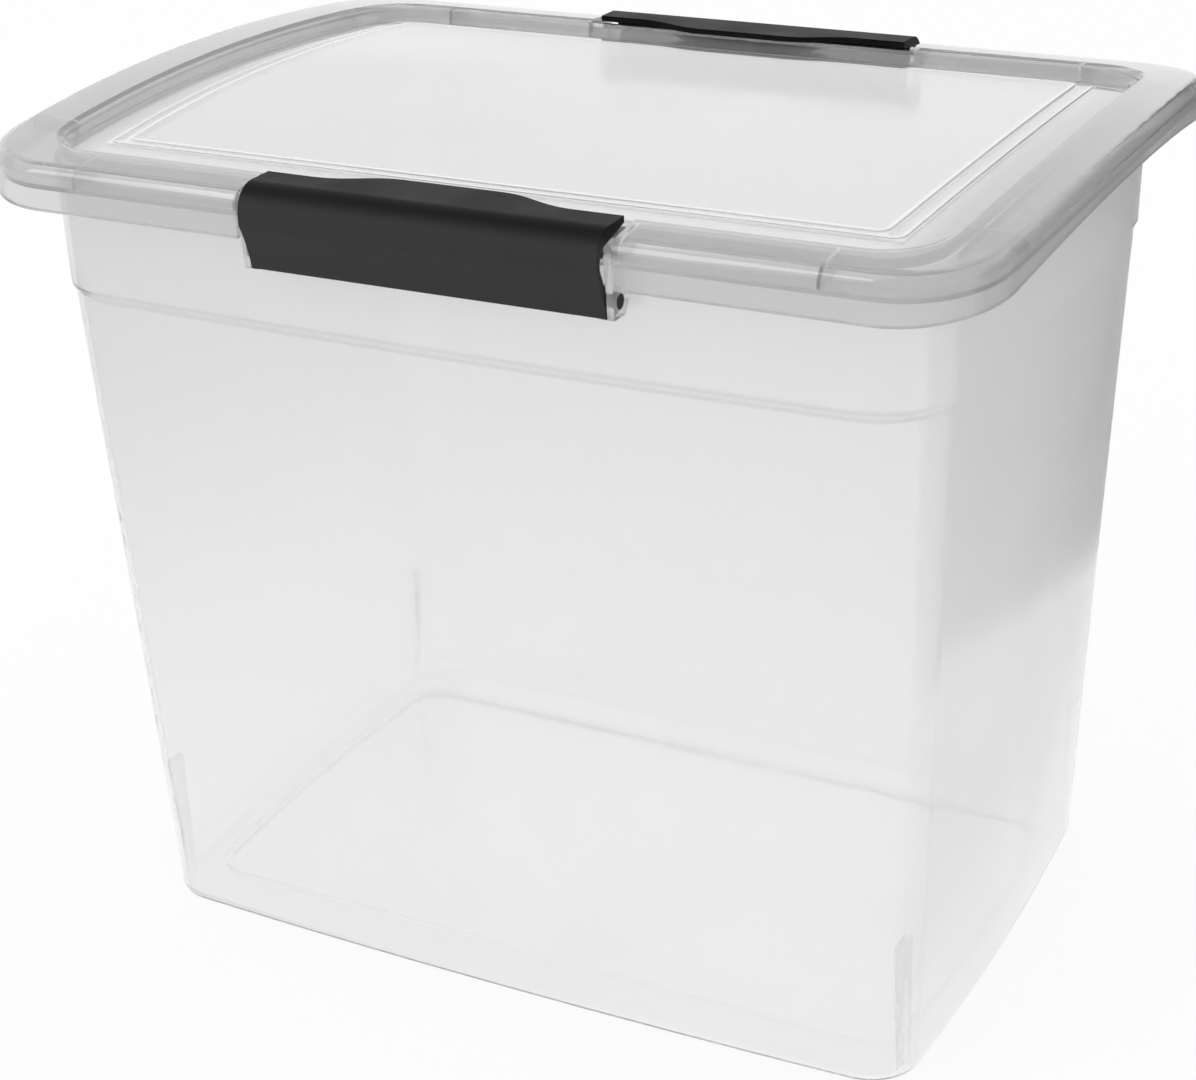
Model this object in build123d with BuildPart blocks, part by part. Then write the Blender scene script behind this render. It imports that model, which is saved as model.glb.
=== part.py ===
"""Clear storage box with a crowned lid and two hinged latches.

X runs along the long side, the front long side faces -Y and Z points up.
The origin is the centre of the base, on the surface that the box stands on.
"""
import os
from math import sqrt

from build123d import *

# Driving dimensions of the mouldings, in millimetres
lid_half_length = 222.5
lid_half_width = 159.5
lid_corner = 40.0
lid_end_bow = 8.0
plastic = 2.2              # wall of the tub and the lid

# Crowned top: one gentle arch across the width, shared by the lid and the tub's rim
crown_rise = 9.6
tub_rim_edge = 352.0       # height of the rim's crown at the lid's own edge
flange_plate = 2.0
rim_hollow = 6.6           # free height inside the lid's hollow rim
seat_gap = 0.3             # the lid's ribs over the rim that carries them
skirt_clearance = 1.0      # the lid's skirt round the rim
skirt_overlap = 9.7        # how far the skirt hangs below the rim's edge
skirt_arch = 15.9          # the skirt's lower edge rises this much on the ends
lid_shoulder = 6.5         # rounding of the lid's outer top edge

# Tub
rim_overhang_side = 16.0   # from the lid's edge in to the wall under the rim
rim_overhang_end = 25.7
wall_draw_side = 17.9      # the wall narrows by this much from the step down to the base
wall_draw_end = 9.8
wall_end_bow = 4.8
wall_side_bow = 4.2
base_corner = 23.0
base_edge = 2.0            # softening under the base
floor_plate = 2.4
foot_height = 1.8          # the middle of the floor is lifted off the ground by this
foot_width_end = 13.0
foot_width_side = 28.4
foot_corner = 16.0
band_height = 52.8         # from the rim's edge down to the foot of the step
step_corner = 30.0
step_ledge = 1.6           # the upper band stands this much proud of the wall
step_rise = 3.4
band_draft = 0.9           # widening of the upper band up to the rim
nest_fin_height = 66.0
nest_fin_width = 3.2
nest_fin_from_end = 8.0    # middle of the fin, from the end of the base
nest_fin_reach = 20.5      # inner edge of the fin, from the side of the base

# Lid's recess and panel
rim_top_width = 22.5       # from the lid's side edge to the wall of the recess
rim_end_width = 27.5       # the same on the ends
recess_depth = 6.0
recess_corner = 24.0
recess_bow = 5.6
recess_bevel = 2.4
hollow_bevel = 3.0         # inside the lid's hollow rim
panel_margin_end = 25.0    # from the wall of the recess to the panel
panel_margin_side = 24.5
panel_corner = 5.0
panel_bow = 4.2
panel_rise = 1.2
panel_band_side = 3.0      # low step round the panel
panel_band_end = 7.0
panel_band_rise = 0.5
gusset_plate = 1.5
gusset_from_end = 63.9
gusset_from_side = 51.5

# Latches and the ears that carry them
latch_half_length = 76.5
latch_wall = 2.5
latch_stand_off = 3.9      # the latch's front, outside the lid's edge
latch_shoulder = 11.0      # rounding from the lip into the front
latch_belly = 0.8          # bulge of the lower front
latch_belly_drop = 15.2    # from the lip's top to where the belly starts
latch_draw_in = 6.3        # the lower edge is drawn in by this much
latch_below_pivot = 6.1
latch_foot_round = 1.2     # lower outer edge, which swings in past the wall
latch_end_plate = 2.4
latch_web_margin = 2.95    # plastic round the pivot stud
latch_band_drop = 10.2     # height of the end plates' upper part
latch_band_wall = 5.2      # and its thickness behind the front
pivot_from_edge = 7.5
pivot_below_rim = 16.0
stud_radius = 2.95
stud_clearance = 0.05
ear_gap = 0.5              # between the latch's end and the ear
ear_plate = 2.8
ear_below_pivot = 6.0
ear_above_rim = 5.0
ear_set_back = 0.5         # the ear's front, inside the lid's edge
ear_lean = 2.0             # the front is drawn in by this much at the foot
ear_bevel = 2.5
ear_root = 4.0
notch_gap = 0.5            # between the ear and the end of the lid's notch
lip_over_lid = 3.4         # the lip's top over the lid's own edge
lip_slope = 0.6            # the lip climbs this much towards the middle
lip_reach = 18.5           # from the lid's edge in to the lip's edge, near its ends
lip_reach_middle = 27.5
lip_gap = 0.8              # between the latch and the lid's set-back rim
bulge_start = 56.0         # the lip widens between these two distances from its middle
bulge_full = 20.0

# Set-back rim under the lip: each drop is measured down from the lid's crown
seat_edge_drop = 1.7
seat_break_in = 9.0        # from the lid's edge
seat_break_drop = 3.9
seat_wall_in = 6.5
seat_wall_drop = 5.7
seat_lean = 1.3            # shifts the underside, so that the sloping parts keep their wall

# Construction bodies run past the box by these two sizes
reach = 600.0
overrun = 12.0

# Sizes that follow
crown_radius = (lid_half_width ** 2 + crown_rise ** 2) / (2 * crown_rise)
lid_top_edge = tub_rim_edge + rim_hollow + plastic
skirt_bottom = tub_rim_edge - skirt_overlap
flange_inset = plastic + skirt_clearance
step_height = tub_rim_edge - band_height
step_half_length = lid_half_length - rim_overhang_end
step_half_width = lid_half_width - rim_overhang_side
base_half_length = step_half_length - wall_draw_end
base_half_width = step_half_width - wall_draw_side
panel_half_length = lid_half_length - rim_end_width - panel_margin_end
panel_half_width = lid_half_width - rim_top_width - panel_margin_side
pivot_out = lid_half_width - pivot_from_edge
pivot_height = tub_rim_edge - pivot_below_rim
ear_inside = latch_half_length + ear_gap
ear_outside = ear_inside + ear_plate
notch_half = ear_outside + notch_gap
lip_edge_out = lid_half_width - lip_reach
lip_middle_out = lid_half_width - lip_reach_middle
lip_top = lid_top_edge + lip_over_lid
seat_break_out = lid_half_width - seat_break_in
seat_wall_out = lid_half_width - seat_wall_in
latch_front_out = lid_half_width + latch_stand_off
latch_bottom = pivot_height - latch_below_pivot
latch_bottom_out = latch_front_out - latch_draw_in


def crown_at(y, edge_height):
    """Height of a crowned surface at a distance y from the middle."""
    return edge_height + crown_rise - crown_radius + sqrt(crown_radius ** 2 - y ** 2)


def outline(height, half_length, half_width, corner, end_bow, side_bow=0.0):
    """Rounded rectangle whose ends, and sides where asked, bow outwards."""
    corner_x = half_length - end_bow
    corner_y = half_width - side_bow
    with BuildSketch(Plane.XY.offset(height)) as flat:
        with BuildLine():
            ThreePointArc((corner_x, -corner_y), (half_length, 0), (corner_x, corner_y))
            ThreePointArc((-corner_x, -corner_y), (-half_length, 0), (-corner_x, corner_y))
            if side_bow:
                ThreePointArc((-corner_x, corner_y), (0, half_width), (corner_x, corner_y))
                ThreePointArc((-corner_x, -corner_y), (0, -half_width), (corner_x, -corner_y))
            else:
                Line((-corner_x, corner_y), (corner_x, corner_y))
                Line((-corner_x, -corner_y), (corner_x, -corner_y))
        make_face()
        fillet(flat.vertices(), corner)
    return flat.sketch


def prism(low, high, half_length, half_width, corner, end_bow, side_bow=0.0):
    """Upright body on that outline."""
    with BuildPart() as body:
        extrude(outline(low, half_length, half_width, corner, end_bow, side_bow), high - low)
    return body.part


def below_arch(edge_height, rise):
    """Everything under an arch across the width, as high as edge_height at the lid's edge."""
    radius = (lid_half_width ** 2 + rise ** 2) / (2 * rise)
    side = lid_half_width + overrun
    edge = edge_height - sqrt(radius ** 2 - lid_half_width ** 2) + sqrt(radius ** 2 - side ** 2)
    with BuildPart() as body:
        with BuildSketch(Plane.YZ) as section:
            with BuildLine():
                ThreePointArc((-side, edge), (0, edge_height + rise), (side, edge))
                Polyline((side, edge), (side, -overrun), (-side, -overrun), (-side, edge))
            make_face()
        extrude(section.sketch, reach / 2, both=True)
    return body.part


def tapered(low, high, low_sizes, high_sizes):
    """Body between two outlines, for a wall with draft."""
    with BuildPart() as body:
        loft([outline(low, *low_sizes), outline(high, *high_sizes)], ruled=True)
    return body.part


def slab_x(near, far):
    """Slab between two values of x, past the box in every other direction."""
    with BuildPart() as body:
        with BuildSketch(Plane.YZ.offset(near)):
            Rectangle(reach, 2 * reach)
        extrude(amount=far - near)
    return body.part


def slab_y(near, far):
    """Slab between two values of y."""
    return slab_x(near, far).rotate(Axis.Z, 90)


def side_profile(points, near, far):
    """Closed polygon of (y, z) points, extruded from one x to another."""
    with BuildPart() as body:
        with BuildSketch(Plane.YZ.offset(near)):
            with BuildLine():
                Polyline(*points, close=True)
            make_face()
        extrude(amount=far - near)
    return body.part


# Tub: drafted wall, stepped band and a crowned rim turned outwards
def section_at(height, inset):
    """Outline sizes of the drafted wall at a height up to the step."""
    share = height / step_height
    return (base_half_length + wall_draw_end * share - inset, base_half_width + wall_draw_side * share - inset,
            base_corner + (step_corner - base_corner) * share - inset, wall_end_bow, wall_side_bow)


def band_section(inset, widening):
    """The same for the upper band, which stands proud of the wall."""
    proud = step_ledge - inset
    return (step_half_length + proud + widening, step_half_width + proud + widening,
            step_corner + proud, wall_end_bow, wall_side_bow)


def tub_body(inset, floor):
    """Outside of the tub, or its hollow when inset by the wall and standing on the floor."""
    band_low = step_height + step_rise
    band_top = tub_rim_edge + crown_rise + overrun
    lower = tapered(floor, step_height, section_at(floor, inset), section_at(step_height, inset))
    ledge = tapered(step_height, band_low, section_at(step_height, inset), band_section(inset, 0.0))
    band = tapered(band_low, band_top, band_section(inset, 0.0), band_section(inset, band_draft))
    return lower, ledge, band


def base_softening():
    """The rounded lower edge of the tub, in two bevels."""
    middle = base_edge * (1 - sqrt(0.5))
    return (tapered(0.0, middle, section_at(0.0, base_edge), section_at(middle, middle)),
            tapered(middle, base_edge, section_at(middle, middle), section_at(base_edge, 0.0)))


def nest_fin(side, end):
    """Upright fin inside a corner of the base, on which a second tub would come to rest."""
    near = end * (base_half_length - nest_fin_from_end) - nest_fin_width / 2
    inner = side * (base_half_width - nest_fin_reach)
    outer = side * (base_half_width + overrun)
    low = floor_plate / 2
    points = [(inner, low), (inner, nest_fin_height), (outer, nest_fin_height), (outer, low)]
    return side_profile(points, near, near + nest_fin_width) & tub_body(plastic / 2, low)[0]


def ear(side, near):
    """One ear plate in front of the wall, for the hole that takes the latch's stud."""
    wall = step_half_width + step_ledge - plastic * 0.4
    front = lid_half_width - ear_set_back
    back = seat_wall_out + notch_gap
    low = pivot_height - ear_below_pivot
    high = tub_rim_edge + ear_above_rim
    shelf = tub_rim_edge - flange_plate / 2
    points = [
        (wall, low + ear_below_pivot), (wall, shelf), (back, shelf), (back, high), (front - ear_bevel, high),
        (front, high - ear_bevel), (front - ear_lean, low), (pivot_out - ear_root, low),
    ]
    return side_profile([(side * y, z) for y, z in points], near, near + ear_plate)


with BuildPart() as tub:
    for solid in tub_body(0.0, base_edge) + base_softening():
        add(solid)
    add(prism(skirt_bottom, lid_top_edge + crown_rise, lid_half_length - flange_inset,
              lid_half_width - flange_inset, lid_corner - flange_inset, lid_end_bow)
        - below_arch(tub_rim_edge - flange_plate, crown_rise))
    add(below_arch(tub_rim_edge, crown_rise), mode=Mode.INTERSECT)
    for solid in tub_body(plastic, floor_plate):
        add(solid, mode=Mode.SUBTRACT)
    # Lifted middle of the floor, which leaves a foot all round under it
    foot_length = base_half_length - foot_width_end
    foot_width = base_half_width - foot_width_side
    add(prism(floor_plate / 2, floor_plate + foot_height, foot_length + plastic, foot_width + plastic,
              foot_corner + plastic, wall_end_bow))
    add(prism(0, foot_height, foot_length, foot_width, foot_corner, wall_end_bow), mode=Mode.SUBTRACT)
    for side in (-1, 1):
        for end in (-1, 1):
            add(nest_fin(side, end))
        # Ears for the latch studs
        for near in (ear_inside, -ear_outside):
            add(ear(side, near))
            with Locations(Location((near + ear_plate / 2, side * pivot_out, pivot_height), (0, 90, 0))):
                Cylinder(stud_radius + stud_clearance, 4 * ear_plate, mode=Mode.SUBTRACT)
tub.part.label = "tub"


# Lid: crowned plate with a hollow rim, a recess and a raised panel
def rim_block(inset, top_edge):
    """Crowned block on the lid's outline, deeper than the skirt."""
    with BuildPart() as body:
        add(prism(skirt_bottom - overrun, top_edge + crown_rise + overrun, lid_half_length - inset,
                  lid_half_width - inset, lid_corner - inset, lid_end_bow))
        add(below_arch(top_edge, crown_rise), mode=Mode.INTERSECT)
    return body.part


def highest_edges(body):
    """Edges round the crowned top of a block."""
    return body.faces().sort_by(Axis.Z)[-1].edges()


def bevelled_block(inset):
    """The lid's block inset by part of the wall, with its shoulder cut off."""
    block = rim_block(inset, lid_top_edge - inset)
    return block.chamfer(hollow_bevel, None, highest_edges(block))


def recess_prism(spread):
    """Upright body on the outline of the recess."""
    return prism(skirt_bottom - overrun, lid_top_edge + crown_rise + overrun,
                 lid_half_length - rim_end_width + spread, lid_half_width - rim_top_width + spread,
                 recess_corner + spread, recess_bow)


def raised(half_length, half_width, rise):
    """Low plateau on the recess floor."""
    floor_edge = lid_top_edge - recess_depth
    plateau = prism(floor_edge - overrun, floor_edge + crown_rise + overrun, half_length, half_width,
                    panel_corner, panel_bow)
    return (plateau & below_arch(floor_edge + rise, crown_rise)) - below_arch(floor_edge - plastic / 2, crown_rise)


def seat_line(side):
    """Top of the set-back rim under a latch's lip, from the recess outwards."""
    stations = [
        (lid_half_width - rim_top_width, seat_edge_drop), (lip_edge_out, seat_edge_drop),
        (seat_break_out, seat_break_drop), (seat_wall_out, seat_wall_drop),
    ]
    return [(side * out, crown_at(out, lid_top_edge) - drop) for out, drop in stations]


def latch_seat(side):
    """The set-back rim as a plate, and the room to cut away outside it."""
    start, edge, fall, wall = seat_line(side)
    low = skirt_bottom - overrun
    high = lid_top_edge + crown_rise + overrun
    far = side * (lid_half_width + overrun)
    edge_under, fall_under, wall_under = [(y - side * seat_lean, z - plastic) for y, z in (edge, fall, wall)]
    inner_wall = wall[0] - side * plastic
    plate = [start, edge, fall, wall, (wall[0], low), (inner_wall, low), (inner_wall, wall_under[1]),
             fall_under, edge_under, (start[0], start[1] - plastic)]
    room = [start, edge, fall, wall, (wall[0], low), (far, low), (far, high), (start[0], high)]
    outer_half = notch_half + plastic
    return side_profile(plate, -outer_half, outer_half), side_profile(room, -notch_half, notch_half)


over_rim = below_arch(tub_rim_edge + seat_gap, crown_rise)
with BuildPart() as lid:
    outside = rim_block(0.0, lid_top_edge)
    add(outside.fillet(lid_shoulder, highest_edges(outside)))
    floor_bulk = recess_prism(plastic) - below_arch(lid_top_edge - recess_depth - plastic, crown_rise)
    add(bevelled_block(plastic) - floor_bulk, mode=Mode.SUBTRACT)
    pocket = recess_prism(0.0) - below_arch(lid_top_edge - recess_depth, crown_rise)
    add(pocket.chamfer(recess_bevel, None, pocket.faces().sort_by(Axis.Z)[0].edges()), mode=Mode.SUBTRACT)
    rim_face = lid.faces().filter_by(lambda face: len(face.inner_wires()) == 1).sort_by(Axis.Z)[-1]
    chamfer(rim_face.inner_wires()[0].edges(), recess_bevel)
    add(below_arch(skirt_bottom, skirt_arch), mode=Mode.SUBTRACT)
    add(raised(panel_half_length + panel_band_end, panel_half_width + panel_band_side, panel_band_rise))
    add(raised(panel_half_length, panel_half_width, panel_rise))
    # Ribs inside the hollow rim, which rest on the tub's rim
    mid_wall = bevelled_block(plastic / 2) - recess_prism(plastic / 2)
    over_flange = mid_wall - over_rim
    for place in (gusset_from_end - lid_half_length, lid_half_length - gusset_from_end):
        add(over_flange & slab_x(place - gusset_plate / 2, place + gusset_plate / 2))
    for place in (gusset_from_side - lid_half_width, lid_half_width - gusset_from_side):
        add(over_flange & slab_y(place - gusset_plate / 2, place + gusset_plate / 2))
    # Notches for the latches, each with its set-back rim and end walls
    for side in (-1, 1):
        plate, room = latch_seat(side)
        add(plate - over_rim)
        add(room, mode=Mode.SUBTRACT)
    rim_clear = prism(0, lid_top_edge + crown_rise, lid_half_length - plastic, lid_half_width - plastic,
                      lid_corner - plastic, lid_end_bow) & over_rim
    end_wall = mid_wall - rim_clear - below_arch(skirt_bottom, skirt_arch)
    for near in (notch_half, -notch_half - plastic):
        add(end_wall & slab_x(near, near + plastic))
lid.part.label = "lid"


# Latch: rolled shell with a lip over the rim, end plates and pivot studs, drawn on the front side
def latch_path():
    """Outer line of the latch's section, from the lip to the lower edge, as (y, z)."""
    belly_top = (-latch_front_out, lip_top - latch_belly_drop)
    with BuildLine() as path:
        FilletPolyline((overrun - lip_middle_out, lip_top + lip_slope), (-latch_front_out, lip_top), belly_top,
                       radius=latch_shoulder)
        SagittaArc(belly_top, (-latch_bottom_out, latch_bottom), latch_belly)
    return path.line


def latch_filled():
    """The section filled in towards the box."""
    with BuildSketch() as filled:
        with BuildLine():
            add(latch_path())
            inner = overrun - lip_middle_out
            Polyline((-latch_bottom_out, latch_bottom), (inner, latch_bottom), (inner, lip_top + lip_slope))
        make_face()
        fillet(filled.vertices().group_by(Axis.Y)[0].sort_by(Axis.X)[0], latch_foot_round)
    return filled.sketch


def latch_end_sections():
    """Section of an end plate: the band under the lip and the web that holds the stud."""
    far = -latch_front_out - overrun
    band_low = lip_top - latch_band_drop
    band_back = latch_band_wall - latch_front_out
    edge, wall = seat_line(-1)[1], seat_line(-1)[3]
    band = [(edge[0], lip_top + overrun), (edge[0], edge[1] + lip_gap), (band_back, wall[1] + 2 * lip_gap),
            (band_back, band_low), (far, band_low), (far, lip_top + overrun)]
    web_round = stud_radius + latch_web_margin
    web = [(far, pivot_height + web_round), (-pivot_out, pivot_height + web_round),
           (-pivot_out, latch_bottom), (far, latch_bottom)]
    sections = []
    for points in (band, web):
        with BuildSketch() as section:
            add(latch_filled())
            with BuildLine():
                Polyline(*points, close=True)
            make_face(mode=Mode.INTERSECT)
            if points is web:
                with Locations((-pivot_out, pivot_height)):
                    Circle(web_round)
        sections.append(section.sketch)
    return sections


def lip_trim():
    """What is cut off the lip's inner edge, seen from above, which leaves it wider in the middle."""
    side = reach / 4
    with BuildSketch(Plane.XY.offset(pivot_height + ear_below_pivot)) as trim:
        with BuildLine():
            Line((-side, -lip_edge_out), (-bulge_start, -lip_edge_out))
            Spline((-bulge_start, -lip_edge_out), (-bulge_full, -lip_middle_out), tangents=[(1, 0), (1, 0)])
            Line((-bulge_full, -lip_middle_out), (bulge_full, -lip_middle_out))
            Spline((bulge_full, -lip_middle_out), (bulge_start, -lip_edge_out), tangents=[(1, 0), (1, 0)])
            Polyline((bulge_start, -lip_edge_out), (side, -lip_edge_out), (side, 0), (-side, 0),
                     (-side, -lip_edge_out))
        make_face()
    return trim.sketch


def latch_body():
    """The front latch, closed."""
    with BuildPart() as body:
        with BuildSketch(Plane.YZ.offset(-latch_half_length)) as shell:
            with BuildLine():
                offset(latch_path(), amount=latch_wall, side=Side.LEFT)
            make_face()
            fillet(shell.vertices().sort_by(Axis.Y)[0], latch_foot_round)
        extrude(shell.sketch, 2 * latch_half_length)
        for section in latch_end_sections():
            for near in (-latch_half_length, latch_half_length - latch_end_plate):
                with BuildSketch(Plane.YZ.offset(near)) as end:
                    add(section)
                extrude(end.sketch, latch_end_plate)
        extrude(lip_trim(), reach / 4, mode=Mode.SUBTRACT)
        for near, outwards in ((latch_half_length, 1), (-latch_half_length, -1)):
            with BuildSketch(Plane.YZ.offset(near)) as stud:
                with Locations((-pivot_out, pivot_height)):
                    Circle(stud_radius)
            extrude(stud.sketch, outwards * (ear_gap + ear_plate))
    return body.part


with BuildPart() as latch_front:
    add(latch_body())
latch_front.part.label = "latch_front"

with BuildPart() as latch_rear:
    add(latch_body().mirror(Plane.XZ))
latch_rear.part.label = "latch_rear"

os.makedirs("parts", exist_ok=True)
export_step(tub.part, "parts/tub.step")
export_step(lid.part, "parts/lid.step")
export_step(latch_front.part, "parts/latch_front.step")
export_step(latch_rear.part, "parts/latch_rear.step")
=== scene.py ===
import math

import bpy
from mathutils import Matrix, Vector


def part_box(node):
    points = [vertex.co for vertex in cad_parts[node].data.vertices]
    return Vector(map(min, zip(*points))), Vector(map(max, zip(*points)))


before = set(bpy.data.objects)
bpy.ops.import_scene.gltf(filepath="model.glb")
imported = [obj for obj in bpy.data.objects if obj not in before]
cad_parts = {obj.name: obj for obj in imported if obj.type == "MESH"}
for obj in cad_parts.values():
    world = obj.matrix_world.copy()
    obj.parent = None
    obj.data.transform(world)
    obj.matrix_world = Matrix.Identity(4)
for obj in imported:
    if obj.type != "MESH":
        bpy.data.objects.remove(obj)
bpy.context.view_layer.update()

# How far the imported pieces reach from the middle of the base, which is alike on both sides
tubReach, lidReach = (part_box(name)[1] for name in ("tub", "lid"))
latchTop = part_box("latch_front")[1].z

# The long sides turn into the ends between these two distances in from the tub's ends
turnInside = (0.0333, 0.0243)
endsFrom = [tubReach.x - inside for inside in turnInside]

# Nearly all values of a noise node lie between these
noiseSpan = (0.3, 0.7)


# sRGB hex colour turned to linear values
def linearColour(hexColour):
    values = [int(hexColour[i:i + 2], 16) / 255 for i in (0, 2, 4)]
    return [v / 12.92 if v <= 0.04045 else ((v + 0.055) / 1.055) ** 2.4 for v in values] + [1.0]


# Adds one node. A setting names one of its sockets, by name or number, or else a property.
# A socket that is given an output is linked to it, and a node stands for its first output
def addNode(tree, kind, settings):
    node = tree.nodes.new(kind)
    for name, value in settings.items():
        if isinstance(name, str) and name not in node.inputs:
            setattr(node, name, value)
        elif isinstance(value, bpy.types.Node):
            tree.links.new(value.outputs[0], node.inputs[name])
        elif isinstance(value, bpy.types.NodeSocket):
            tree.links.new(value, node.inputs[name])
        else:
            node.inputs[name].default_value = value
    return node


# Empty node material with its output
def newMaterial(name):
    material = bpy.data.materials.new(name)
    material.use_nodes = True
    tree = material.node_tree
    tree.nodes.clear()
    return material, tree, tree.nodes.new("ShaderNodeOutputMaterial")


# Noise with lumps of this size. At a scale of 1 they are about a metre across
def lumpyNoise(tree, place, sizeMm, detail):
    return addNode(tree, "ShaderNodeTexNoise", {"Vector": place, "Scale": 1000 / sizeMm, "Detail": detail})


# Value that wanders between two limits over the surface
def patchyValue(tree, place, sizeMm, detail, limits):
    return addNode(tree, "ShaderNodeMapRange", {
        "Value": lumpyNoise(tree, place, sizeMm, detail),
        "From Min": noiseSpan[0], "From Max": noiseSpan[1], "To Min": limits[0], "To Max": limits[1]})


# Shallow relief, for fine grain and for the slight waviness of a moulded sheet
def shallowRelief(tree, place, sizeMm, detail, strength, depth):
    return addNode(tree, "ShaderNodeBump", {
        "Height": lumpyNoise(tree, place, sizeMm, detail), "Strength": strength, "Distance": depth})


# Natural polypropylene off a polished tool: clear low down, with painted shade making it milkier and darker
# higher up towards the rim, greyer where it is seen edge on, with two thin lines of painted shade at the
# corners of the ledge.
# Its thin sheet hardly bends what lies behind it, so its IOR is low and the coat gives the gloss
tubSettings = {
    "clearColour": "FCFCFC", "milkyAndShadedColour": "F0F0F0", "edgeColour": "CFCFCF",
    "clearEdge": 0.2, "edgePower": 3.0,
    "ior": 1.12, "transmission": (0.92, 0.87),
    "roughness": (0.10, 0.15), "roughSizeMm": 71.4, "roughDetail": 3.0,
    "coat": 1.0, "coatRoughness": 0.12, "coatIor": 1.7,
    "waveSizeMm": 111.1, "waveDetail": 2.0, "waveStrength": 0.012, "waveDepth": 0.0015,
    "paintedShadeOverBase": 0.05, "paintedShadeUnderRim": 0.0216,
    "ledgeUnderRim": (0.0624, 0.0590), "ledgeHalfWidth": 0.0007, "ledgeShadeDarkness": 0.42,
}


# How milky and shaded, how dark and how clear the tub is at each place. The ledge's lines of painted shade
# show on the long sides
def tubPattern(tree, place, settings):
    parts = addNode(tree, "ShaderNodeSeparateXYZ", {0: place})
    height = parts.outputs["Z"]
    # Painted shade: from over the base up to under the rim the tub turns milkier, greyer and less clear
    milkAndShade = addNode(tree, "ShaderNodeMapRange", {
        "interpolation_type": "SMOOTHSTEP", "Value": height,
        "From Min": settings["paintedShadeOverBase"], "From Max": tubReach.z - settings["paintedShadeUnderRim"]})
    along = addNode(tree, "ShaderNodeMath", {"operation": "ABSOLUTE", 0: parts.outputs["X"]})
    onSides = addNode(tree, "ShaderNodeMapRange", {
        "interpolation_type": "SMOOTHSTEP", "Value": along,
        "From Min": endsFrom[1], "From Max": endsFrom[0], "To Max": settings["ledgeShadeDarkness"]})
    # Painted shade: two thin dark lines at the ledge's corners, on the long sides only
    lines = [addNode(tree, "ShaderNodeMath", {
        "operation": "COMPARE", 0: height, 1: tubReach.z - under, 2: settings["ledgeHalfWidth"]})
        for under in settings["ledgeUnderRim"]]
    onLine = addNode(tree, "ShaderNodeMath", {"operation": "ADD", 0: lines[0], 1: lines[1]})
    paintedDark = addNode(tree, "ShaderNodeMath", {"operation": "MULTIPLY", 0: onLine, 1: onSides})
    return milkAndShade, paintedDark, 1.0


# The lid is the same plastic: a clear panel, milkier at the ends and round the hollow rim,
# with a painted highlight making the two low steps round the panel pale
lidSettings = {
    "clearColour": "F8F8F8", "milkyAndShadedColour": "DEDEDE", "edgeColour": "B4B4B4",
    "clearEdge": 0.35, "edgePower": 3.0,
    "ior": 1.17, "transmission": (0.92, 0.80),
    "roughness": (0.08, 0.13), "roughSizeMm": 83.3, "roughDetail": 3.0,
    "coat": 1.0, "coatRoughness": 0.05, "coatIor": 1.7,
    "waveSizeMm": 90.9, "waveDetail": 2.0, "waveStrength": 0.02, "waveDepth": 0.0010,
    "milkInsideEnd": (0.0545, 0.0365), "milkInsideSide": (0.0355, 0.0175),
    "stepsInside": ((0.0525, 0.0470), (0.0455, 0.0440)), "stepBow": 0.0042,
    "stepMiddle": -0.0004, "stepHalfWidth": 0.0013, "stepHighlightClarity": 0.3,
}


# How milky, how dark and how clear the lid is at each place. Each step is so far inside the ends
# and the sides of the lid
def lidPattern(tree, place, settings):
    parts = addNode(tree, "ShaderNodeSeparateXYZ", {0: place})
    along, across = (addNode(tree, "ShaderNodeMath", {"operation": "ABSOLUTE", 0: parts.outputs[axis]})
                     for axis in ("X", "Y"))
    atEnds, atSides = (addNode(tree, "ShaderNodeMapRange", {
        "interpolation_type": "SMOOTHSTEP", "Value": size,
        "From Min": reach - inside[0], "From Max": reach - inside[1]})
        for size, reach, inside in ((along, lidReach.x, settings["milkInsideEnd"]),
                                    (across, lidReach.y, settings["milkInsideSide"])))
    milkAndShade = addNode(tree, "ShaderNodeMath", {"operation": "MAXIMUM", 0: atEnds, 1: atSides})
    square = addNode(tree, "ShaderNodeMath", {"operation": "MULTIPLY", 0: across, 1: across})
    clarity = 1.0
    for insideEnd, insideSide in settings["stepsInside"]:
        halfLength = lidReach.x - insideEnd
        halfWidth = lidReach.y - insideSide
        # How far outside the step's outline a place is, once the bow of the ends is taken out
        straight = addNode(tree, "ShaderNodeMath", {
            "operation": "MULTIPLY_ADD", 0: square, 1: settings["stepBow"] / halfWidth ** 2, 2: along})
        pastEnd = addNode(tree, "ShaderNodeMath", {"operation": "SUBTRACT", 0: straight, 1: halfLength})
        pastSide = addNode(tree, "ShaderNodeMath", {"operation": "SUBTRACT", 0: across, 1: halfWidth})
        past = addNode(tree, "ShaderNodeMath", {"operation": "MAXIMUM", 0: pastEnd, 1: pastSide})
        # Painted highlight: along each step the lid is less clear, so it shows pale
        onStep = addNode(tree, "ShaderNodeMath", {
            "operation": "COMPARE", 0: past, 1: settings["stepMiddle"], 2: settings["stepHalfWidth"]})
        here = addNode(tree, "ShaderNodeMapRange", {
            "Value": onStep, "To Min": 1.0, "To Max": settings["stepHighlightClarity"]})
        clarity = addNode(tree, "ShaderNodeMath", {"operation": "MINIMUM", 0: clarity, 1: here})
    return milkAndShade, 0.0, clarity


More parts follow.
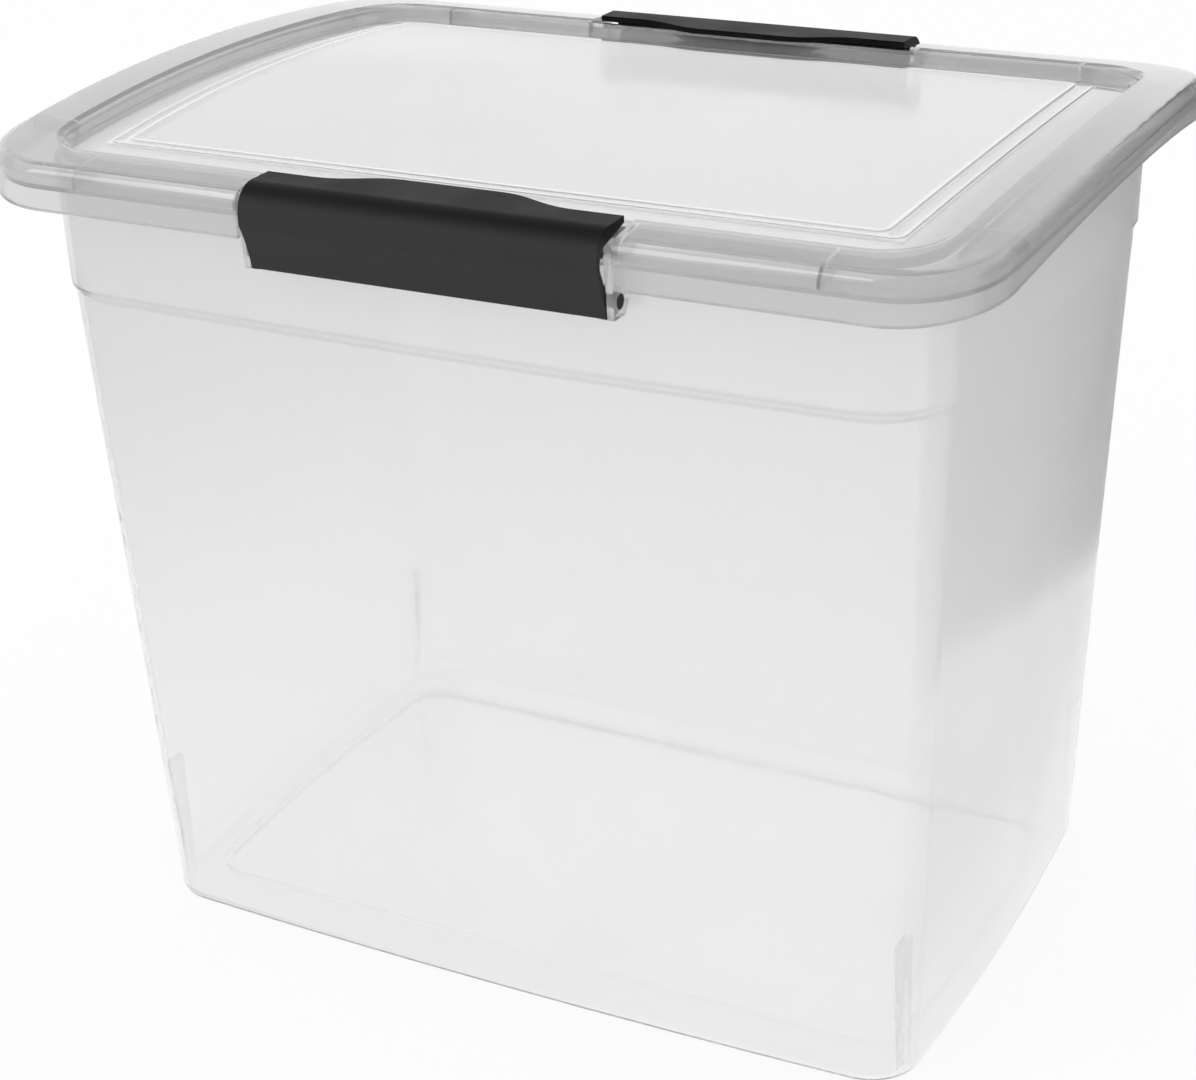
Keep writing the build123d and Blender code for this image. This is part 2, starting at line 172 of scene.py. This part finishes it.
# Clear plastic with a pattern. Of a Mix node, sockets 6 and 7 are the colours and output 2 their mix
def clearMaterial(name, settings, pattern):
    material, tree, output = newMaterial(name)
    place = tree.nodes.new("ShaderNodeTexCoord").outputs["Object"]
    rough = patchyValue(tree, place, settings["roughSizeMm"], settings["roughDetail"], settings["roughness"])
    waves = shallowRelief(tree, place, settings["waveSizeMm"], settings["waveDetail"],
                          settings["waveStrength"], settings["waveDepth"])
    milkAndShade, paintedDark, clarity = pattern(tree, place, settings)
    facing = tree.nodes.new("ShaderNodeLayerWeight").outputs["Facing"]
    edge = addNode(tree, "ShaderNodeMath", {"operation": "POWER", 0: facing, 1: settings["edgePower"]})
    edgeShare = addNode(tree, "ShaderNodeMapRange", {"Value": milkAndShade, "To Min": settings["clearEdge"]})
    edge = addNode(tree, "ShaderNodeMath", {"operation": "MULTIPLY", 0: edge, 1: edgeShare})
    # The ledge's painted shade lines take the edge colour
    edge = addNode(tree, "ShaderNodeMath", {"operation": "MAXIMUM", 0: edge, 1: paintedDark})
    plain = addNode(tree, "ShaderNodeMix", {
        "data_type": "RGBA", 0: milkAndShade, 6: linearColour(settings["clearColour"]),
        7: linearColour(settings["milkyAndShadedColour"])})
    tinted = addNode(tree, "ShaderNodeMix", {
        "data_type": "RGBA", 0: edge, 6: plain.outputs[2], 7: linearColour(settings["edgeColour"])})
    through = addNode(tree, "ShaderNodeMapRange", {
        "Value": milkAndShade, "To Min": settings["transmission"][0], "To Max": settings["transmission"][1]})
    through = addNode(tree, "ShaderNodeMath", {"operation": "MULTIPLY", 0: through, 1: clarity})
    shader = addNode(tree, "ShaderNodeBsdfPrincipled", {
        "Base Color": tinted.outputs[2], "Roughness": rough, "Normal": waves, "Transmission Weight": through,
        "IOR": settings["ior"], "Coat Weight": settings["coat"], "Coat IOR": settings["coatIor"],
        "Coat Roughness": settings["coatRoughness"]})
    tree.links.new(shader.outputs["BSDF"], output.inputs["Surface"])
    return material


# Black polypropylene with a fine satin grain, with painted shade making it blacker over the top of the lip.
# The grain of such a tool is finer than a pixel, so it is drawn coarser, as fine as the render can show
latchSettings = {
    "colour": "343434", "lipShadeColour": "121212", "lipShadeUnderTop": (0.0081, 0.0011),
    "ior": 1.15, "specular": 0.5, "roughness": (0.38, 0.48), "roughSizeMm": 25.0, "roughDetail": 3.0,
    "grainSizeMm": 0.7143, "grainDetail": 2.0, "grainStrength": 0.25, "grainDepth": 0.00008,
}


def latchMaterial(name, settings):
    material, tree, output = newMaterial(name)
    place = tree.nodes.new("ShaderNodeTexCoord").outputs["Object"]
    rough = patchyValue(tree, place, settings["roughSizeMm"], settings["roughDetail"], settings["roughness"])
    grain = shallowRelief(tree, place, settings["grainSizeMm"], settings["grainDetail"],
                          settings["grainStrength"], settings["grainDepth"])
    parts = addNode(tree, "ShaderNodeSeparateXYZ", {0: place})
    # Painted shade: the top of the lip is blacker than the front
    lipShade = addNode(tree, "ShaderNodeMapRange", {
        "interpolation_type": "SMOOTHSTEP", "Value": parts.outputs["Z"],
        "From Min": latchTop - settings["lipShadeUnderTop"][0], "From Max": latchTop - settings["lipShadeUnderTop"][1]})
    colour = addNode(tree, "ShaderNodeMix", {
        "data_type": "RGBA", 0: lipShade, 6: linearColour(settings["colour"]),
        7: linearColour(settings["lipShadeColour"])})
    shader = addNode(tree, "ShaderNodeBsdfPrincipled", {
        "Base Color": colour.outputs[2], "Roughness": rough, "Normal": grain,
        "IOR": settings["ior"], "Specular IOR Level": settings["specular"]})
    tree.links.new(shader.outputs["BSDF"], output.inputs["Surface"])
    return material


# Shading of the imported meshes. Edges that turn less than these degrees shade as one rounded face,
# along the sides and at the ends
smoothingSettings = {
    "angles": {"tub": (20.0, 50.0), "lid": (25.0, 25.0), "latch_front": (50.0, 50.0),
               "latch_rear": (50.0, 50.0)},
    "mergeWithin": 0.000002, "broadFaceWeight": 60,
}


# Joins the vertices and marks which edges stay sharp
def makeSmoothing(sideAngle, endAngle):
    tree = bpy.data.node_groups.new("smoothBevels", "GeometryNodeTree")
    tree.interface.new_socket("Geometry", in_out="INPUT", socket_type="NodeSocketGeometry")
    tree.interface.new_socket("Geometry", in_out="OUTPUT", socket_type="NodeSocketGeometry")
    start = tree.nodes.new("NodeGroupInput")
    end = tree.nodes.new("NodeGroupOutput")
    merged = addNode(tree, "GeometryNodeMergeByDistance", {
        "Geometry": start, "Distance": smoothingSettings["mergeWithin"]})
    softFaces = addNode(tree, "GeometryNodeSetShadeSmooth", {
        "domain": "FACE", "Geometry": merged, "Shade Smooth": True})
    softEdges = addNode(tree, "GeometryNodeSetShadeSmooth", {
        "domain": "EDGE", "Geometry": softFaces, "Shade Smooth": True})
    angle = tree.nodes.new("GeometryNodeInputMeshEdgeAngle").outputs["Unsigned Angle"]
    position = tree.nodes.new("GeometryNodeInputPosition")
    parts = addNode(tree, "ShaderNodeSeparateXYZ", {0: position})
    along = addNode(tree, "ShaderNodeMath", {"operation": "ABSOLUTE", 0: parts.outputs["X"]})
    limit = addNode(tree, "ShaderNodeMapRange", {
        "Value": along, "From Min": endsFrom[0], "From Max": endsFrom[1],
        "To Min": math.radians(sideAngle), "To Max": math.radians(endAngle)})
    steep = addNode(tree, "FunctionNodeCompare", {"operation": "GREATER_THAN", 0: angle, 1: limit})
    crisp = addNode(tree, "GeometryNodeSetShadeSmooth", {
        "domain": "EDGE", "Geometry": softEdges, "Selection": steep, "Shade Smooth": False})
    tree.links.new(crisp.outputs[0], end.inputs[0])
    return tree


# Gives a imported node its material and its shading
def dress(nodeName, material):
    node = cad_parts[nodeName]
    node.data.materials.clear()
    node.data.materials.append(material)
    sideAngle, endAngle = smoothingSettings["angles"][nodeName]
    node.modifiers.new("smoothBevels", "NODES").node_group = makeSmoothing(sideAngle, endAngle)
    weighted = node.modifiers.new("broadFacesFlat", "WEIGHTED_NORMAL")
    weighted.keep_sharp = True
    weighted.weight = smoothingSettings["broadFaceWeight"]


# Camera, from fitting the photograph's outlines with the box at its real size
cameraSettings = {
    "imageSize": (1196.0, 1080.0), "sensorWidth": 36.0, "clip": (0.05, 50.0),
    "azimuth": 27.71, "elevation": 24.56, "roll": -1.69,
    "place": (0.4632, -0.9006, 0.6280),
    "focalPixels": 2469.2, "centrePixel": (603.2, 536.2),
}


def makeCamera():
    azimuth, elevation, roll = (math.radians(cameraSettings[name])
                                for name in ("azimuth", "elevation", "roll"))
    back = Vector((math.sin(azimuth) * math.cos(elevation), -math.cos(azimuth) * math.cos(elevation),
                   math.sin(elevation)))
    right = Vector((math.cos(azimuth), math.sin(azimuth), 0))
    up = back.cross(right)
    across = right * math.cos(roll) + up * math.sin(roll)
    upright = up * math.cos(roll) - right * math.sin(roll)
    width, height = cameraSettings["imageSize"]
    centreX, centreY = cameraSettings["centrePixel"]
    data = bpy.data.cameras.new("camera")
    data.sensor_width = cameraSettings["sensorWidth"]
    data.lens = cameraSettings["focalPixels"] / width * data.sensor_width
    data.shift_x = (width / 2 - centreX) / width
    data.shift_y = (centreY - height / 2) / width
    data.clip_start, data.clip_end = cameraSettings["clip"]
    camera = bpy.data.objects.new("camera", data)
    rotation = Matrix((across, upright, back)).transposed().to_4x4()
    camera.matrix_world = Matrix.Translation(cameraSettings["place"]) @ rotation
    bpy.context.scene.collection.objects.link(camera)
    bpy.context.scene.camera = camera


# 1 for what the camera sees, straight, through clear plastic or in a reflection, else 0
def whereSeen(tree):
    path = tree.nodes.new("ShaderNodeLightPath")
    straight = addNode(tree, "ShaderNodeMath", {
        "operation": "MAXIMUM", 0: path.outputs["Is Camera Ray"], 1: path.outputs["Is Glossy Ray"]})
    return addNode(tree, "ShaderNodeMath", {
        "operation": "MAXIMUM", 0: straight, 1: path.outputs["Is Transmission Ray"]})


# White for the eye, and a soft even sky, which is most of the light that reaches the box
skySettings = {"colour": "FFFFFF", "lightOnBox": 0.95, "seen": 1.0}


def makeWorld():
    world = bpy.data.worlds.new("softSky")
    bpy.context.scene.world = world
    world.use_nodes = True
    tree = world.node_tree
    tree.nodes.clear()
    strength = addNode(tree, "ShaderNodeMapRange", {
        "Value": whereSeen(tree), "To Min": skySettings["lightOnBox"], "To Max": skySettings["seen"]})
    sky = addNode(tree, "ShaderNodeBackground", {
        "Color": linearColour(skySettings["colour"]), "Strength": strength})
    output = tree.nodes.new("ShaderNodeOutputWorld")
    tree.links.new(sky.outputs["Background"], output.inputs["Surface"])


# Soft square lamps that look at the box and add mild highlights
lampSettings = {
    "target": (0.0, 0.0, 0.15),
    "lamps": (
        {"name": "key", "place": (-1.2, -1.6, 1.8), "size": 1.2, "power": 9.0},
        {"name": "fill", "place": (1.8, -0.6, 1.2), "size": 1.2, "power": 1.0},
    ),
}


def makeLamps():
    for settings in lampSettings["lamps"]:
        data = bpy.data.lights.new(settings["name"], "AREA")
        data.shape = "SQUARE"
        data.size = settings["size"]
        data.energy = settings["power"]
        lamp = bpy.data.objects.new(settings["name"], data)
        lamp.location = settings["place"]
        aim = Vector(lampSettings["target"]) - lamp.location
        lamp.rotation_euler = aim.to_track_quat("-Z", "Y").to_euler()
        bpy.context.scene.collection.objects.link(lamp)


# Flat sheet for the studio, from its corners and faces
def makeSheet(name, corners, faces, material):
    mesh = bpy.data.meshes.new(name)
    mesh.from_pydata(corners, [], faces)
    mesh.materials.append(material)
    sheet = bpy.data.objects.new(name, mesh)
    bpy.context.scene.collection.objects.link(sheet)
    return sheet


# Plain pale floor, white for the eye apart from a soft shadow
floorSettings = {"halfSize": 3.0, "drop": 0.0004, "colour": "F8F8F8", "glowColour": "FFFFFF", "glow": 0.88}


def makeFloor():
    material, tree, output = newMaterial("paleFloor")
    paint = addNode(tree, "ShaderNodeBsdfDiffuse", {"Color": linearColour(floorSettings["colour"])})
    glow = addNode(tree, "ShaderNodeEmission", {"Color": linearColour(floorSettings["glowColour"])})
    share = addNode(tree, "ShaderNodeMath", {
        "operation": "MULTIPLY", 0: whereSeen(tree), 1: floorSettings["glow"]})
    mix = addNode(tree, "ShaderNodeMixShader", {0: share, 1: paint, 2: glow})
    tree.links.new(mix.outputs[0], output.inputs["Surface"])
    half = floorSettings["halfSize"]
    corners = [(-half, -half, 0), (half, -half, 0), (half, half, 0), (-half, half, 0)]
    floor = makeSheet("floor", corners, [(0, 1, 2, 3)], material)
    floor.location = (0, 0, -floorSettings["drop"])


# Dark card beside the box that shows only in reflections: a painted dark reflection, glowing grey low down
# and near black higher up, with blotches, in the place of a studio flag. It stands between the
# near and the far place, its foot lies on the floor up to the box, and it fades out at its edges:
# each fade names an axis, the place where the card is gone and the place where it is full
cardSettings = {
    "near": (0.50, -0.20), "far": (0.168, 0.45), "footNear": (0.175, -0.20), "footFar": (0.140, 0.45),
    "low": 0.001, "high": 0.62,
    "lowColour": "8E8E8E", "highColour": "202020", "darker": (0.20, 0.30),
    "footFade": (0.185, 0.245), "footShare": 0.45, "uprightFade": (0.0, 0.05),
    "fades": (("Z", 0.61, 0.44), ("Y", -0.20, -0.08), ("Y", 0.45, 0.38)),
    "blotchSizeMm": 200.0, "blotchDetail": 2.0, "blotch": (0.80, 1.0),
}


def makeCard():
    material, tree, output = newMaterial("darkCard")
    place = tree.nodes.new("ShaderNodeTexCoord").outputs["Object"]
    parts = addNode(tree, "ShaderNodeSeparateXYZ", {0: place})
    onFoot = addNode(tree, "ShaderNodeMapRange", {
        "interpolation_type": "SMOOTHSTEP", "Value": parts.outputs["X"],
        "From Min": cardSettings["footFade"][0], "From Max": cardSettings["footFade"][1],
        "To Max": cardSettings["footShare"]})
    upright = addNode(tree, "ShaderNodeMapRange", {
        "interpolation_type": "SMOOTHSTEP", "Value": parts.outputs["Z"],
        "From Min": cardSettings["uprightFade"][0], "From Max": cardSettings["uprightFade"][1]})
    either = addNode(tree, "ShaderNodeMath", {"operation": "MAXIMUM", 0: onFoot, 1: upright})
    share = patchyValue(tree, place, cardSettings["blotchSizeMm"], cardSettings["blotchDetail"],
                        cardSettings["blotch"])
    share = addNode(tree, "ShaderNodeMath", {"operation": "MULTIPLY", 0: share, 1: either})
    for axis, gone, full in cardSettings["fades"]:
        fade = addNode(tree, "ShaderNodeMapRange", {
            "interpolation_type": "SMOOTHSTEP", "Value": parts.outputs[axis],
            "From Min": gone, "From Max": full})
        share = addNode(tree, "ShaderNodeMath", {"operation": "MULTIPLY", 0: share, 1: fade})
    darker = addNode(tree, "ShaderNodeMapRange", {
        "interpolation_type": "SMOOTHSTEP", "Value": parts.outputs["Z"],
        "From Min": cardSettings["darker"][0], "From Max": cardSettings["darker"][1]})
    colour = addNode(tree, "ShaderNodeMix", {
        "data_type": "RGBA", 0: darker, 6: linearColour(cardSettings["lowColour"]),
        7: linearColour(cardSettings["highColour"])})
    # The card glows these greys, seen only in reflections: a painted reflection
    paintedDark = addNode(tree, "ShaderNodeEmission", {"Color": colour.outputs[2]})
    clear = tree.nodes.new("ShaderNodeBsdfTransparent")
    mix = addNode(tree, "ShaderNodeMixShader", {0: share, 1: clear, 2: paintedDark})
    tree.links.new(mix.outputs[0], output.inputs["Surface"])
    near, far, footNear, footFar = (cardSettings[name] for name in ("near", "far", "footNear", "footFar"))
    low, high = cardSettings["low"], cardSettings["high"]
    corners = [(*near, low), (*far, low), (*far, high), (*near, high), (*footNear, low), (*footFar, low)]
    card = makeSheet("darkCard", corners, [(0, 1, 2, 3), (4, 5, 1, 0)], material)
    card.visible_camera = card.visible_diffuse = False
    card.visible_transmission = card.visible_shadow = False


makeCamera()
print("camera done")

makeWorld()
makeFloor()
makeCard()
makeLamps()
print("sky, floor, card and lamps done")

dress("tub", clearMaterial("naturalPolypropyleneSatin", tubSettings, tubPattern))
dress("lid", clearMaterial("naturalPolypropyleneGlossy", lidSettings, lidPattern))
black = latchMaterial("blackPolypropyleneSatin", latchSettings)
dress("latch_front", black)
dress("latch_rear", black)
print("tub, lid and latches done")

bpy.context.scene.view_settings.view_transform = "Standard"
